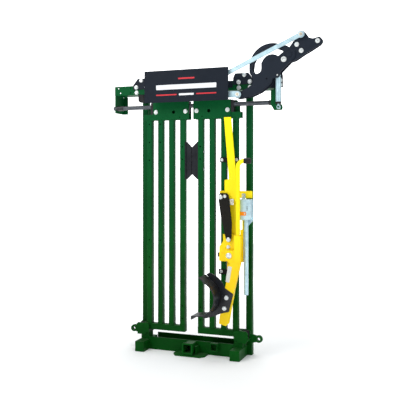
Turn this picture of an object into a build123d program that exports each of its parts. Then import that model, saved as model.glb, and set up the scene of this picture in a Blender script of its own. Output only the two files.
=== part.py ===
from build123d import *
import math
import os

# Cattle head gate of a squeeze chute, with a head holder on the right-hand door.
# Millimetres. +X is to the right, +Y is away from the viewer, +Z is up.
# The origin is on the ground, on the line where the two doors meet.

os.makedirs("parts", exist_ok=True)

# ---- base frame -------------------------------------------------------------
FOOT_IN, FOOT_OUT = 365.0, 444.0
FOOT_FRONT, FOOT_H = -148.0, 80.0
BEAM_FRONT, BEAM_BACK = -40.0, 135.0
BEAM_Z0, BEAM_Z1, BEAM_WALL = 0.0, 103.0, 8.0
POST_IN, POST_OUT = 431.0, 481.0
POST_Y0, POST_Y1, POST_WALL = 71.0, 121.0, 4.0
# ---- top beam and slide bar -------------------------------------------------
TOP_Z0, TOP_Z1, TOP_WALL = 2100.0, 2177.0, 5.0
TOP_Y0, TOP_Y1 = -19.0, 121.0
TOP_LEFT, TOP_RIGHT = -696.0, 700.0
BAR_Y, BAR_Z, BAR_R, BAR_END = -3.0, 1992.7, 17.0, 712.0
# ---- doors ------------------------------------------------------------------
BARS = ((57.0, 99.7), (155.0, 197.7), (253.0, 295.7), (351.0, 393.7))
DOOR_Y0, DOOR_Y1 = -25.0, 25.0
RAIL_OUT = 421.0
LOW_Z0, LOW_Z1 = 159.0, 210.0
UP_Z0, UP_Z1 = 1881.0, 1931.0
HANGER_Z1 = 2030.0
HANGER_IN, HANGER_OUT = 20.0, 336.0
PAD_BOLT_Z = (1480.0, 1617.0)
TAB_Z1 = 2078.0
LEFT_LUG, RIGHT_LUG = (-65.0, 2042.0), (115.0, 2070.0)
# ---- gate lever -------------------------------------------------------------
PIVOT = (684.0, 2268.0)
PIN_U = (917.0, 2480.0)
PIN_L = (424.0, 2053.0)
PIN_R = 20.0
FRONT_Y0, FRONT_Y1 = -108.0, -98.0
BACK_Y0, BACK_Y1 = -50.0, -40.0
LINK_Y0, LINK_Y1 = -126.0, -116.0
# ---- telescopic strut -------------------------------------------------------
STRUT_TOP = (733.0, 2189.0)
STRUT_FOOT = (735.0, 1950.0)
STRUT_Y = -74.0
# ---- sign -------------------------------------------------------------------
SIGN_X, SIGN_Z0, SIGN_Z1 = 354.5, 2011.0, 2266.0
SIGN_Y0, SIGN_Y1 = -156.0, -153.0
# ---- head holder ------------------------------------------------------------
HINGE_H = (353.0, 1222.0)
PIN_B = (273.0, 1260.0)
PIN_C = (339.0, 928.0)
ARM_A = (356.0, 809.0)
TUBE_X, TUBE_Y, TUBE_R = 425.0, -118.0, 17.0
LOCK_X, LOCK_Y, LOCK_R = 473.0, -60.0, 18.0
CRADLE, CRADLE_R = (151.0, 488.0), 131.0
ARM_BOLTS = ((337.0, 483.0), (320.0, 400.0))
RUN = 0.05


def xz(y):
    """The upright plane at depth y: sketch x is X, sketch y is Z, and it extrudes to the front."""
    return Plane.XZ.offset(-y)


def block(x0, x1, y0, y1, z0, z1, mode=Mode.ADD):
    """A rectangular block between the six given coordinates."""
    with BuildSketch(Plane.XY.offset(z0)) as outline:
        with Locations(((x0 + x1) / 2, (y0 + y1) / 2)):
            Rectangle(abs(x1 - x0), abs(y1 - y0))
    extrude(outline.sketch, amount=z1 - z0, mode=mode)


def plate(points, y0, y1, mode=Mode.ADD, corner=0.0):
    """A flat upright plate of the outline given in X and Z, from depth y0 back to y1."""
    with BuildSketch(xz(y1)) as outline:
        with BuildLine():
            Polyline(*points, close=True)
        make_face()
        if corner:
            fillet(outline.vertices(), corner)
    extrude(outline.sketch, amount=y1 - y0, mode=mode)


def disc(x, z, radius, y0, y1, mode=Mode.ADD):
    """A round bar or hole whose axis runs front to back."""
    with BuildSketch(xz(y1)) as outline:
        with Locations((x, z)):
            Circle(radius)
    extrude(outline.sketch, amount=y1 - y0, mode=mode)


def upright(x, y, radius, z0, z1, mode=Mode.ADD):
    """A round bar or hole whose axis is upright."""
    with BuildSketch(Plane.XY.offset(z0)) as outline:
        with Locations((x, y)):
            Circle(radius)
    extrude(outline.sketch, amount=z1 - z0, mode=mode)


def across(y, z, radius, x0, x1, mode=Mode.ADD):
    """A round bar or hole whose axis runs from left to right."""
    with BuildSketch(Plane.YZ.offset(x0)) as outline:
        with Locations((y, z)):
            Circle(radius)
    extrude(outline.sketch, amount=x1 - x0, mode=mode)


def bolt(x, z, face, size, shank, head=0.0):
    """A hexagon bolt whose head stands in front of the given face; the shank goes back from it."""
    height = head or size * 0.6
    with BuildSketch(xz(face)) as hexagon:
        with Locations((x, z)):
            RegularPolygon(radius=size * 0.92, side_count=6)
    extrude(hexagon.sketch, amount=height)
    disc(x, z, size / 2, face, face + shank)


def arc(centre, radius, start, end, count):
    """Points along an arc, in degrees counter-clockwise as seen from the front."""
    steps = [math.radians(start + (end - start) * i / count) for i in range(count + 1)]
    return [(centre[0] + radius * math.cos(t), centre[1] + radius * math.sin(t)) for t in steps]


def write(piece, name):
    """Labels a finished piece and writes it to its own STEP file."""
    piece.part.label = name
    export_step(piece.part, f"parts/{name}.step")


# =============================================================================
# Base: an open channel sill between two feet, with two posts and two receivers
# =============================================================================
with BuildPart() as base_beam:
    block(-FOOT_IN, FOOT_IN, BEAM_FRONT, BEAM_BACK, BEAM_Z0, BEAM_Z1)
    block(-FOOT_IN, FOOT_IN, BEAM_FRONT + BEAM_WALL, BEAM_BACK - BEAM_WALL,
          BEAM_Z0 + BEAM_WALL, BEAM_Z1, mode=Mode.SUBTRACT)
write(base_beam, "base_beam")


with BuildPart() as feet:
    for side in (-1, 1):
        outer = [(side * x, y) for x, y in (
            (FOOT_IN, FOOT_FRONT), (FOOT_OUT, FOOT_FRONT), (FOOT_OUT, POST_Y0),
            (POST_IN, POST_Y0), (POST_IN, POST_Y1), (FOOT_IN, POST_Y1))]
        with BuildSketch(Plane.XY):
            with BuildLine():
                Polyline(*outer, close=True)
            make_face()
        extrude(amount=FOOT_H)
    front = feet.edges().filter_by(Axis.Z).group_by(Axis.Y)[0]
    fillet(front, 5)
    for side in (-1, 1):
        inner = [(side * x, y) for x, y in (
            (FOOT_IN + 6, FOOT_FRONT + 6), (FOOT_OUT - 6, FOOT_FRONT + 6), (FOOT_OUT - 6, POST_Y0 - 6),
            (POST_IN - 6, POST_Y0 - 6), (POST_IN - 6, POST_Y1 - 6), (FOOT_IN + 6, POST_Y1 - 6))]
        with BuildSketch(Plane.XY):
            with BuildLine():
                Polyline(*inner, close=True)
            make_face()
        extrude(amount=FOOT_H - 6, mode=Mode.SUBTRACT)
write(feet, "feet")

with BuildPart() as posts:
    with BuildSketch(Plane.XY):
        for side in (-1, 1):
            with Locations((side * (POST_IN + POST_OUT) / 2, (POST_Y0 + POST_Y1) / 2)):
                RectangleRounded(POST_OUT - POST_IN, POST_Y1 - POST_Y0, 5)
                RectangleRounded(POST_OUT - POST_IN - 2 * POST_WALL, POST_Y1 - POST_Y0 - 2 * POST_WALL, 2,
                                 mode=Mode.SUBTRACT)
    extrude(amount=TOP_Z0)
write(posts, "posts")

with BuildPart() as large_receiver:
    with BuildSketch(xz(BEAM_FRONT)):
        with Locations((18, 63)):
            RectangleRounded(76.2, 76.2, 8)
            RectangleRounded(63.5, 63.5, 3, mode=Mode.SUBTRACT)
    extrude(amount=120)
    with BuildSketch(xz(BEAM_FRONT - 102)):
        with Locations((18, 63)):
            RectangleRounded(88, 88, 10)
            RectangleRounded(76.3, 76.3, 8, mode=Mode.SUBTRACT)
    extrude(amount=18)
    across(-100, 63, 8.5, -30, 70, mode=Mode.SUBTRACT)
write(large_receiver, "large_receiver")

with BuildPart() as receiver_base_plate:
    with BuildSketch(Plane.XY):
        with BuildLine():
            Polyline((-115, -42), (-115, -120), (-85, -158), (122, -158), (152, -120), (152, -42), close=True)
        make_face()
    extrude(amount=12)
    block(-40, -30, -110, -42, 12, 74)
    block(66, 76, -110, -42, 12, 74)
write(receiver_base_plate, "receiver_base_plate")

with BuildPart() as small_receiver:
    with BuildSketch(xz(BEAM_FRONT)):
        with Locations((212, 72)):
            RectangleRounded(63.5, 63.5, 6)
            RectangleRounded(51, 51, 2, mode=Mode.SUBTRACT)
    extrude(amount=42)
write(small_receiver, "small_receiver")

# =============================================================================
# Top beam, slide bar, end brackets, clamp plates and sign
# =============================================================================
CLAMP_X = (400.7, 492.7)
CLAMP_BOLTS = [(s * x, z) for s in (-1, 1) for x in CLAMP_X for z in (2161.4, 2118.4)]
SIGN_BOLTS = [(-293, 2150), (293, 2150)]
LEVER_BOLTS = [(632, 2125), (632, 2160), (736, 2125), (736, 2160)]

with BuildPart() as top_beam:
    with BuildSketch(Plane.YZ.offset(TOP_LEFT)):
        with Locations(((TOP_Y0 + TOP_Y1) / 2, (TOP_Z0 + TOP_Z1) / 2)):
            RectangleRounded(TOP_Y1 - TOP_Y0, TOP_Z1 - TOP_Z0, 8)
            RectangleRounded(TOP_Y1 - TOP_Y0 - 2 * TOP_WALL, TOP_Z1 - TOP_Z0 - 2 * TOP_WALL, 4,
                             mode=Mode.SUBTRACT)
    extrude(amount=TOP_RIGHT - TOP_LEFT)
    for hx, hz in ((-662, 2160), (-643, 2120), (-550, 2160), (-550, 2119)):
        disc(hx, hz, 6, TOP_Y0 - 1, TOP_Y0 + 10, mode=Mode.SUBTRACT)
    for hx, hz in CLAMP_BOLTS + SIGN_BOLTS:
        disc(hx, hz, 8.5, TOP_Y0 - 1, TOP_Y0 + 10, mode=Mode.SUBTRACT)
    for hx, hz in LEVER_BOLTS[:2] + [(547, 2162)]:
        disc(hx, hz, 8.5, TOP_Y0 - 1, TOP_Y0 + 10, mode=Mode.SUBTRACT)
write(top_beam, "top_beam")

with BuildPart() as slide_bar:
    across(BAR_Y, BAR_Z, BAR_R, -BAR_END, BAR_END)
    chamfer(slide_bar.faces().filter_by(Axis.X).edges(), 2)
write(slide_bar, "slide_bar")


with BuildPart() as end_brackets:
    block(-696, -686, -16, 135, 1953, 2099.5)
    block(686, 696, -34, 135, 1953, 2099.5)
    block(-696, -650, 127, 135, 1953, 2099.5)
    block(650, 696, 127, 135, 1953, 2099.5)
    right_flange = [(664, 2090), (664, 1975), (690, 1930), (752, 1930), (757, 1950), (752, 1972), (708, 1985),
                    (700, 2000), (700, 2090)]
    plate(right_flange, -38, -30)
    across(BAR_Y, BAR_Z, BAR_R + 0.3, -715, 715, mode=Mode.SUBTRACT)
    disc(STRUT_FOOT[0], STRUT_FOOT[1], 7, STRUT_Y - 18, -34)
write(end_brackets, "end_brackets")

with BuildPart() as bar_collars:
    across(BAR_Y, BAR_Z, 20.5, -685.7, -620)
    across(BAR_Y, BAR_Z, 20.5, 642, 685.7)
    across(BAR_Y, BAR_Z, BAR_R + 0.3, -710, 710, mode=Mode.SUBTRACT)
write(bar_collars, "bar_collars")

with BuildPart() as clamp_plates:
    for side in (-1, 1):
        outline = [(side * x, z) for x, z in (
            (355, 2143), (355, 2196), (371, 2232), (479, 2232), (521, 2182), (521, 2143))]
        plate(outline, TOP_Y0 - 6, TOP_Y0)
        block(side * 375, side * 500, TOP_Y0, 40, TOP_Z1 + 0.2, TOP_Z1 + 8)
        for x in CLAMP_X:
            disc(side * x, 2161.4, 8.5, TOP_Y0 - 8, TOP_Y0 + 2, mode=Mode.SUBTRACT)
        disc(side * 446.7, 2217.3, 8.5, TOP_Y0 - 8, TOP_Y0 + 2, mode=Mode.SUBTRACT)
write(clamp_plates, "clamp_plates")

with BuildPart() as frame_bolts:
    for side in (-1, 1):
        for x in CLAMP_X:
            bolt(side * x, 2161.4, TOP_Y0 - 6, 16, 40)
            bolt(side * x, 2118.4, TOP_Y0, 16, 34)
        bolt(side * 446.7, 2217.3, TOP_Y0 - 6, 16, 22)
        bolt(side * 293, 2150, TOP_Y0 - 5, 12, 12)
    bolt(547, 2162, TOP_Y0, 14, 4)
    for hx, hz in LEVER_BOLTS:
        bolt(hx, hz, TOP_Y0 - 10, 16, 30 if hx < 700 else 20, head=7)
write(frame_bolts, "frame_bolts")

with BuildPart() as beam_bumpers:
    for side in (-1, 1):
        outline = [(side * x, z) for x, z in (
            (430, 2099.5), (478, 2099.5), (478, 2052), (466, 2036), (430, 2036))]
        plate(outline, -16, 20)
write(beam_bumpers, "beam_bumpers")

with BuildPart() as sign_panel:
    block(-SIGN_X, SIGN_X, SIGN_Y0, SIGN_Y1, SIGN_Z0, SIGN_Z1)
    for side in (-1, 1):
        block(side * SIGN_X, side * (SIGN_X - 3), SIGN_Y1, SIGN_Y1 + 14, SIGN_Z0, SIGN_Z1)
    block(-SIGN_X, SIGN_X, SIGN_Y1, SIGN_Y1 + 14, SIGN_Z1 - 3, SIGN_Z1)
write(sign_panel, "sign_panel")

with BuildPart() as sign_brackets:
    for side in (-1, 1):
        block(side * 285, side * 315, SIGN_Y1, SIGN_Y1 + 5, SIGN_Z0 + 12, SIGN_Z1 - 12)
        block(side * 308, side * 314, SIGN_Y1 + 5, TOP_Y0 - 5, 2140, 2168)
        block(side * 282, side * 350, TOP_Y0 - 5, TOP_Y0, 2122, 2176)
        disc(side * 293, 2150, 6.5, TOP_Y0 - 6, TOP_Y0 + 1, mode=Mode.SUBTRACT)
write(sign_brackets, "sign_brackets")

# =============================================================================
# Door guides at the bottom, with nylon pads, and the two pin lugs
# =============================================================================

with BuildPart() as guide_brackets:
    for side in (-1, 1):
        x0, x1 = 366.0, 480.0
        wall = [(side * x, z) for x, z in ((x0, 143), (x0, 200), (x0 + 8, 212), (x1 - 14, 212), (x1, 198),
                                          (x1, 143))]
        plate(wall, -48, -36)
        plate(wall, 36, 46)
        block(side * x0, side * x1, -48, 46, 135, 143)
        block(side * 368, side * 438, -38, 40, FOOT_H, 135)
        block(side * 375, side * 431, -31, 41, FOOT_H, 127, mode=Mode.SUBTRACT)
        block(side * 395, side * 470, -48, -40, 118, 135)
write(guide_brackets, "guide_brackets")

with BuildPart() as guide_pads:
    for side in (-1, 1):
        block(side * 370, side * 470, -36, -26.5, 163, 205)
        block(side * 370, side * 470, 26.5, 36, 163, 205)
        block(side * 370, side * 470, -24, 24, 143, 157)
write(guide_pads, "guide_pads")

with BuildPart() as pin_lugs:
    for side in (-1, 1):
        outline = [(side * x, z) for x, z in ((440, 125), (440, 176), (500, 172), (541, 161), (541, 119),
                                             (500, 108), (486, 108))]
        plate(outline, 46, 60)
        disc(side * 545, 140, 27, 36, 66)
        disc(side * 545, 140, 13, 30, 70, mode=Mode.SUBTRACT)
write(pin_lugs, "pin_lugs")

# =============================================================================
# The two sliding doors
# =============================================================================
SPOTS = (1850, 1701, 1554, 896, 755, 669)


def make_bars(side, name):
    """The four upright tubes of one door."""
    with BuildPart() as bars:
        with BuildSketch(Plane.XY.offset(LOW_Z1)):
            for inner, outer in BARS:
                with Locations((side * (inner + outer) / 2, 0)):
                    RectangleRounded(outer - inner, 50, 4)
                    RectangleRounded(outer - inner - 6, 44, 2, mode=Mode.SUBTRACT)
        extrude(amount=UP_Z0 - LOW_Z1)
        for z in (371, 269, 1560, 1661):
            disc(side * 78, z, 6, DOOR_Y0 - 1, DOOR_Y0 + 8, mode=Mode.SUBTRACT)
        for x in (274, 372):
            for z in SPOTS:
                disc(side * x, z, 5.5, DOOR_Y0 - 1, DOOR_Y0 + 8, mode=Mode.SUBTRACT)
        for z in PAD_BOLT_Z:
            across(0, z, 6.5, min(side * 50, side * 110), max(side * 50, side * 110), mode=Mode.SUBTRACT)
    write(bars, name)


def make_rails(side, name):
    """The top and bottom square-tube rails of a door, open at their outer ends."""
    with BuildPart() as rails:
        with BuildSketch(Plane.YZ.offset(min(side * 57, side * RAIL_OUT))):
            for z0, z1 in ((LOW_Z0, LOW_Z1), (UP_Z0, UP_Z1)):
                with Locations((0, (z0 + z1) / 2)):
                    RectangleRounded(50, z1 - z0, 5)
                    RectangleRounded(42, z1 - z0 - 8, 2, mode=Mode.SUBTRACT)
        extrude(amount=RAIL_OUT - 57)
        for z0, z1 in ((LOW_Z0, LOW_Z1), (UP_Z0, UP_Z1)):
            block(side * 57, side * 61, -22, 22, z0 + 3, z1 - 3)
    write(rails, name)


def make_hanger_plates(side, name):
    """The plates on both faces of the top rail that carry the slide bushings."""
    rear = [(side * x, z) for x, z in (
        (HANGER_IN, UP_Z0 + 2), (HANGER_IN, HANGER_Z1), (HANGER_OUT, HANGER_Z1), (HANGER_OUT, UP_Z0 + 2))]
    front = [(side * x, z) for x, z in (
        (HANGER_IN, UP_Z0 + 2), (HANGER_IN, TAB_Z1), (165, TAB_Z1), (185, HANGER_Z1), (HANGER_OUT, HANGER_Z1),
        (HANGER_OUT, UP_Z0 + 2))]
    with BuildPart() as hangers:
        plate(front, DOOR_Y0 - 6, DOOR_Y0)
        plate(rear, DOOR_Y1, DOOR_Y1 + 6)
        disc(side * 153, 1945, 14, DOOR_Y0 - 7, DOOR_Y0 + 1, mode=Mode.SUBTRACT)
        for y in (DOOR_Y0 - 6, DOOR_Y1):
            disc(side * 98, 1902, 6.5, y - 1, y + 7, mode=Mode.SUBTRACT)
            disc(side * 48, 1948, 8.5, y - 1, y + 7, mode=Mode.SUBTRACT)
            disc(side * 310, 1948, 8.5, y - 1, y + 7, mode=Mode.SUBTRACT)
    write(hangers, name)


def make_bushings(side, name):
    """Two nylon blocks between the hanger plates, bored for the slide bar."""
    with BuildPart() as bushings:
        block(side * 22, side * 84, DOOR_Y0 + 0.2, DOOR_Y1 - 0.2, 1931.2, 2028)
        outer = [(side * x, z) for x, z in ((270, 1931.2), (270, 2028), (352, 2028), (359, 2019), (359, 1931.2))]
        plate(outer, DOOR_Y0 + 0.2, DOOR_Y1 - 0.2)
        x0, x1 = min(side * 10, side * 370), max(side * 10, side * 370)
        across(BAR_Y, BAR_Z, BAR_R + RUN, x0, x1, mode=Mode.SUBTRACT)
        for x in (48, 310):
            disc(side * x, 1948, 8.5, -40, 40, mode=Mode.SUBTRACT)
    write(bushings, name)


def make_door_bolts(side, name):
    """Bolts through the hanger plates and bushings, and those that hold the neck pad."""
    with BuildPart() as bolts:
        for x in (48, 310):
            bolt(side * x, 1948, DOOR_Y0 - 6, 16, 62)
            with BuildSketch(xz(DOOR_Y1 + 18)) as nut:
                with Locations((side * x, 1948)):
                    RegularPolygon(radius=15, side_count=6)
            extrude(nut.sketch, amount=11.5)
        for z in PAD_BOLT_Z:
            x0, x1 = min(side * 50, side * 99.9), max(side * 50, side * 99.9)
            across(0, z, 6, x0, x1)
            h0 = 99.9 if side > 0 else -108.5
            with BuildSketch(Plane.YZ.offset(h0)) as head:
                with Locations((0, z)):
                    RegularPolygon(radius=12, side_count=6)
            extrude(head.sketch, amount=8.6)
    write(bolts, name)


def make_neck_pad(side, name):
    """The black neck pad: a chamfered plate on a backing strip along the inner stile."""
    outline = [(side * x, z) for x, z in ((49, 1396), (3, 1439), (3, 1656), (49, 1701))]
    with BuildPart() as pad:
        plate(outline, -14, 14)
        block(side * 49, side * 56.8, -23, 23, 1396, 1701)
        for z in PAD_BOLT_Z:
            x0, x1 = min(side * 38, side * 70), max(side * 38, side * 70)
            across(0, z, 6.4, x0, x1, mode=Mode.SUBTRACT)
    write(pad, name)


def make_lug(centre, sides, window, name):
    """The boxed lug on the front of a hanger plate, with a window for the link's pin."""
    x0, x1 = sides
    wx0, wx1, wz0, wz1 = window
    with BuildPart() as lug:
        block(x0, x1, -112, -104, 2024, 2116)
        block(x0, x0 + 8, -104, DOOR_Y0 - 6, 2032, 2074)
        block(x1 - 8, x1, -104, DOOR_Y0 - 6, 2032, 2074)
        block(centre[0] + wx0, centre[0] + wx1, -113, -103, centre[1] + wz0, centre[1] + wz1,
              mode=Mode.SUBTRACT)
    write(lug, name)


for side, hand in ((-1, "left"), (1, "right")):
    make_bars(side, f"{hand}_door_bars")
    make_rails(side, f"{hand}_door_rails")
    make_hanger_plates(side, f"{hand}_hanger_plates")
    make_bushings(side, f"{hand}_bushings")
    make_door_bolts(side, f"{hand}_door_bolts")
    make_neck_pad(side, f"{hand}_neck_pad")
make_lug(LEFT_LUG, (-97, -23), (-12.5, 24.0, -12.5, 38.0), "left_link_lug")
make_lug(RIGHT_LUG, (62, 142), (-33.0, 12.5, -38.0, 12.5), "right_link_lug")

# =============================================================================
# Gate lever on its bracket, with the two links
# =============================================================================
with BuildPart() as lever_bracket:
    outline = [(612, 2104), (612, 2190)] + arc(PIVOT, 55, 150, 20, 14) + [(756, 2190), (756, 2104)]
    plate(outline, -29, TOP_Y0)
    disc(PIVOT[0], PIVOT[1], PIN_R, -94, -29)
    for hx, hz in LEVER_BOLTS:
        disc(hx, hz, 8.5, -30, TOP_Y0 + 1, mode=Mode.SUBTRACT)
write(lever_bracket, "lever_bracket")

HUB = (825.0, 2341.0)
LEVER_OUTLINE = (
    arc(PIN_L, 30, 230, 285, 4)
    + [(533, 2037), (603, 2067), (649, 2099), (686, 2133), (700, 2166), (722, 2168), (738, 2168),
       (752, 2181), (757, 2212), (858, 2308)]
    + arc(HUB, 47, -40, 75, 7)
    + [(805, 2406), (762, 2417)]
    + arc((688, 2268), 165, 76, 100, 5)
    + arc((688, 2258), 175, 106, 182, 14)
    + [(514, 2215), (546, 2168), (527, 2118), (446, 2077)]
    + arc(PIN_L, 30, 60, 210, 8)
)
SLOT = arc((690, 2268), 130, 46, 110, 10) + [(598, 2368), (562, 2332), (541, 2293)] + arc(
    (571, 2243), 37, 180, 360, 12) + [(608, 2290)] + arc((690, 2268), 80, 160, 52, 12)


def make_lever_plate(y0, y1, through, name):
    """One of the two equal lever plates, with its curved slot."""
    with BuildPart() as lever:
        plate(LEVER_OUTLINE, y0, y1)
        plate(SLOT, y0 - 1, y1 + 1, mode=Mode.SUBTRACT)
        if through:
            disc(PIVOT[0], PIVOT[1], PIN_R + RUN, y0 - 1, y1 + 1, mode=Mode.SUBTRACT)
        for x, z, r in ((PIN_L[0], PIN_L[1], 10.2), (783, 2305, 10.2), (HUB[0], HUB[1], 10.2),
                        (STRUT_TOP[0], STRUT_TOP[1], 6.2), (649, 2165, 5.5)):
            disc(x, z, r, y0 - 1, y1 + 1, mode=Mode.SUBTRACT)
    write(lever, name)


make_lever_plate(FRONT_Y0, FRONT_Y1, False, "lever_front_plate")
make_lever_plate(BACK_Y0, BACK_Y1, True, "lever_back_plate")

TIP_OUTLINE = (
    arc(PIN_U, 30, 30, 140, 7)
    + [(880, 2455), (853, 2436), (827, 2399), (788, 2345)]
    + arc((783, 2305), 30, 110, 260, 8)
    + [(838, 2283), (870, 2292), (942, 2336), (980, 2355), (1056, 2400)]
    + arc((1040, 2428), 30, -50, 80, 7)
    + [(1002, 2447), (969, 2457)]
)

with BuildPart() as lever_tip_plates:
    plate(TIP_OUTLINE, FRONT_Y1 + 0.3, FRONT_Y1 + 8.3)
    plate(TIP_OUTLINE, BACK_Y0 - 8.3, BACK_Y0 - 0.3)
    for x, z, r in ((PIN_U[0], PIN_U[1], 10.2), (880, 2411, 8.2), (914, 2363, 8.2), (1037, 2428, 8.2),
                    (783, 2305, 10.2), (HUB[0], HUB[1], 10.2)):
        disc(x, z, r, -110, -38, mode=Mode.SUBTRACT)
write(lever_tip_plates, "lever_tip_plates")

with BuildPart() as lever_spacers:
    disc(PIVOT[0], PIVOT[1], 32, FRONT_Y1 + 0.2, BACK_Y0 - 0.2)
    disc(PIN_L[0], PIN_L[1], 18, FRONT_Y1 + 0.2, BACK_Y0 - 0.2)
    bores = ((880, 2411, 8.2), (914, 2363, 8.2), (1037, 2428, 8.2), (783, 2305, 10.2),
             (HUB[0], HUB[1], 10.2), (PIN_U[0], PIN_U[1], 10.2))
    for x, z, r in bores:
        disc(x, z, r + 7, FRONT_Y1 + 8.5, BACK_Y0 - 8.5)
        disc(x, z, r, FRONT_Y1 + 8, BACK_Y0 - 8, mode=Mode.SUBTRACT)
    disc(PIVOT[0], PIVOT[1], PIN_R + RUN, FRONT_Y1, BACK_Y0, mode=Mode.SUBTRACT)
    disc(PIN_L[0], PIN_L[1], 10.2, FRONT_Y1, BACK_Y0, mode=Mode.SUBTRACT)
write(lever_spacers, "lever_spacers")

with BuildPart() as lever_bolts:
    for x, z, face, size in ((880, 2411, FRONT_Y1 + 0.1, 16), (914, 2363, FRONT_Y1 + 0.1, 16),
                             (1037, 2428, FRONT_Y1 + 0.1, 16), (783, 2305, FRONT_Y0, 20)):
        bolt(x, z, face, size, -face - 42 if size == 16 else -face - 39, head=9)
    disc(HUB[0], HUB[1], 20, FRONT_Y0 - 6, FRONT_Y0)
    disc(HUB[0], HUB[1], 10, FRONT_Y0, BACK_Y1 + 1)
    for x, z in (PIN_U, PIN_L):
        bolt(x, z, LINK_Y0 - 1, 20, 85, head=8)
    disc(STRUT_TOP[0], STRUT_TOP[1], 6, FRONT_Y0 + 1, BACK_Y1)
write(lever_bolts, "lever_bolts")


def make_link(start, end, width, eye, far_eye, name):
    """A flat link bar from the lever's pin to a door's lug, with the headed stud it carries there."""
    run = math.dist(start, end)
    ux, uz = (end[0] - start[0]) / run, (end[1] - start[1]) / run
    h = width / 2
    f = min(h, far_eye)
    body = [(start[0] - uz * h, start[1] + ux * h), (end[0] - uz * f, end[1] + ux * f),
            (end[0] + uz * f, end[1] - ux * f), (start[0] + uz * h, start[1] - ux * h)]
    with BuildPart() as link:
        plate(body, LINK_Y0, LINK_Y1)
        disc(start[0], start[1], eye, LINK_Y0, LINK_Y1)
        disc(end[0], end[1], far_eye, LINK_Y0, LINK_Y1)
        disc(start[0], start[1], eye - 6, LINK_Y1, FRONT_Y0 - 0.6)
        disc(start[0], start[1], 10 + RUN, LINK_Y0 - 1, FRONT_Y0, mode=Mode.SUBTRACT)
        bolt(end[0], end[1], LINK_Y0, 20, 31, head=8)
    write(link, name)


make_link(PIN_U, LEFT_LUG, 33, 26, 20, "upper_link")
make_link(PIN_L, RIGHT_LUG, 50, 26, 22, "lower_link")


with BuildPart() as strut_tube:
    upright(STRUT_TOP[0], STRUT_Y, 21, STRUT_TOP[1] - 200, STRUT_TOP[1] - 16)
    upright(STRUT_TOP[0], STRUT_Y, 18, STRUT_TOP[1] - 201, STRUT_TOP[1] - 26, mode=Mode.SUBTRACT)
    disc(STRUT_TOP[0], STRUT_TOP[1], 16, STRUT_Y - 9, STRUT_Y + 9)
    block(STRUT_TOP[0] - 12, STRUT_TOP[0] + 12, STRUT_Y - 9, STRUT_Y + 9, STRUT_TOP[1] - 20, STRUT_TOP[1])
    disc(STRUT_TOP[0], STRUT_TOP[1], 6 + RUN, STRUT_Y - 10, STRUT_Y + 10, mode=Mode.SUBTRACT)
write(strut_tube, "strut_tube")

with BuildPart() as strut_cap:
    upright(STRUT_TOP[0], STRUT_Y, 23, STRUT_TOP[1] - 216, STRUT_TOP[1] - 200)
    upright(STRUT_TOP[0], STRUT_Y, 17.5, STRUT_TOP[1] - 217, STRUT_TOP[1] - 199, mode=Mode.SUBTRACT)
    fillet(strut_cap.edges().group_by(Axis.Z)[0].sort_by(SortBy.LENGTH)[-1:], 5)
write(strut_cap, "strut_cap")

with BuildPart() as strut_rod:
    upright(STRUT_FOOT[0] - 1.5, STRUT_Y, 8, STRUT_FOOT[1] + 10, STRUT_FOOT[1] + 176)
    disc(STRUT_FOOT[0], STRUT_FOOT[1], 15, STRUT_Y - 8, STRUT_Y + 8)
    disc(STRUT_FOOT[0], STRUT_FOOT[1], 7 + RUN, STRUT_Y - 9, STRUT_Y + 9, mode=Mode.SUBTRACT)
write(strut_rod, "strut_rod")

# =============================================================================
# Head holder on the right-hand door
# =============================================================================
with BuildPart() as holder_straps:
    block(248, 404, DOOR_Y0 - 8, DOOR_Y0, 1534, 1572)
    block(322, 362, DOOR_Y0 - 30, DOOR_Y0 - 8, 1541, 1565)
    block(238, 396, DOOR_Y0 - 8, DOOR_Y0, 648, 688)
    for x, z in ((265, 1553), (386, 1553), (259, 669), (384, 669)):
        disc(x, z, 6.5, DOOR_Y0 - 9, DOOR_Y0 + 1, mode=Mode.SUBTRACT)
write(holder_straps, "holder_straps")

with BuildPart() as holder_frame:
    rail = [(312, 642), (400, 642), (400, 1252), (516, 1252), (516, 1308), (250, 1308), (250, 1252), (312, 1252)]
    plate(rail, DOOR_Y0 - 16, DOOR_Y0 - 8)
    block(250, 516, DOOR_Y0 - 28, DOOR_Y0 - 16, 1302, 1308)
    block(256, 293, DOOR_Y0 - 8, DOOR_Y0, 1260, 1300)
    block(353, 391, DOOR_Y0 - 8, DOOR_Y0, 1260, 1300)
    disc(HINGE_H[0], HINGE_H[1], 12, -72, DOOR_Y0 - 16)
    disc(446, 1272, 6.5, -42, -32, mode=Mode.SUBTRACT)
write(holder_frame, "holder_frame")

with BuildPart() as holder_bolts:
    for x, z in ((265, 1553), (386, 1553), (259, 669)):
        bolt(x, z, DOOR_Y0 - 8, 12, 8)
    bolt(446, 1272, -46, 12, 12)
    block(HINGE_H[0] - 23, HINGE_H[0] + 23, -77, -72, HINGE_H[1] - 23, HINGE_H[1] + 23)
    bolt(HINGE_H[0], HINGE_H[1], -77, 14, 1, head=5)
write(holder_bolts, "holder_bolts")

with BuildPart() as lift_lever:
    bar = [(293, 1886), (351, 1886), (395, 1394), (395, 1240), (378, 1197), (330, 1195), (262, 1236),
           (250, 1262), (262, 1285), (300, 1306), (300, 1394), (334, 1400)]
    plate(bar, -66, -56)
    disc(PIN_B[0], PIN_B[1], 16, -83.5, -66)
    disc(HINGE_H[0], HINGE_H[1], 12 + RUN, -67, -55, mode=Mode.SUBTRACT)
    disc(PIN_B[0], PIN_B[1], 8 + RUN, -84, -55, mode=Mode.SUBTRACT)
write(lift_lever, "lift_lever")

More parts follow.
